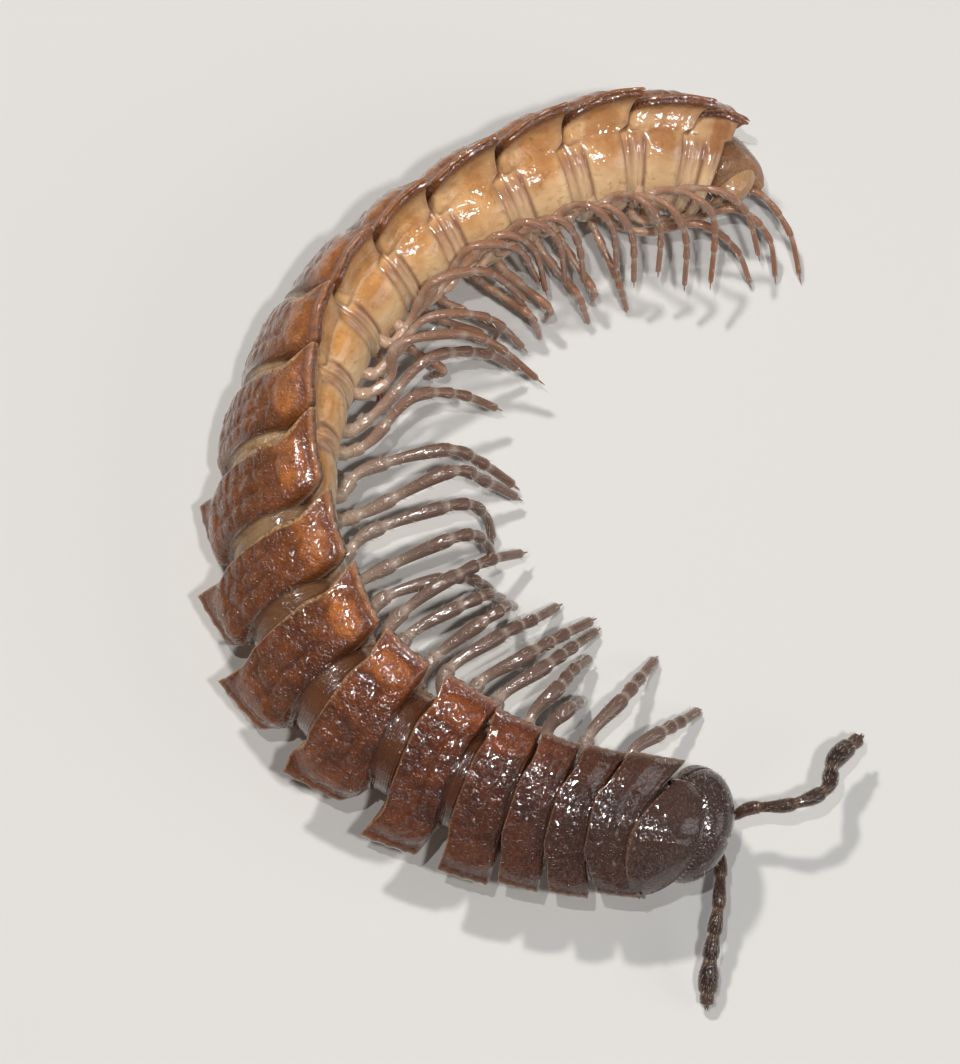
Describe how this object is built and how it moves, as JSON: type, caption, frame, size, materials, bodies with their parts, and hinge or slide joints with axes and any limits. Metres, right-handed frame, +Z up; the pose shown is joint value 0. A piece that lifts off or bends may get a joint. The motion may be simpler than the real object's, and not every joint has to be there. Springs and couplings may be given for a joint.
{
  "type": "flat-backed millipede model",
  "caption": "Life-size flat-backed millipede, body curled and half rolled on its side, with side plates, feelers and walking legs.",
  "frame": {"origin": "on the floor plane under the middle of the model's bounding box", "axes": "+Z up, away from the floor; +X towards the side where the head points; +Y towards the tail end of the curled body"},
  "size_m": [0.0136, 0.0186, 0.0038],
  "materials": {
    "ring_shell": "wet brown shell",
    "front_shell": "wet dark brown shell",
    "feeler_shell": "dark brown, finely bristled"
  },
  "bodies": {
    "root": {"antenna_left": "feeler_shell", "antenna_right": "feeler_shell", "collum": "front_shell", "head": "front_shell", "ring_02": "ring_shell", "ring_03": "ring_shell", "ring_04": "ring_shell", "ring_05": "ring_shell", "ring_06": "ring_shell", "ring_07": "ring_shell", "ring_08": "ring_shell", "ring_09": "ring_shell", "ring_10": "ring_shell", "ring_11": "ring_shell", "ring_12": "ring_shell", "ring_13": "ring_shell", "ring_14": "ring_shell", "ring_15": "ring_shell", "ring_16": "ring_shell", "ring_17": "ring_shell", "ring_18": "ring_shell", "ring_19": "ring_shell", "telson": "ring_shell"}
  },
  "joints": []
}
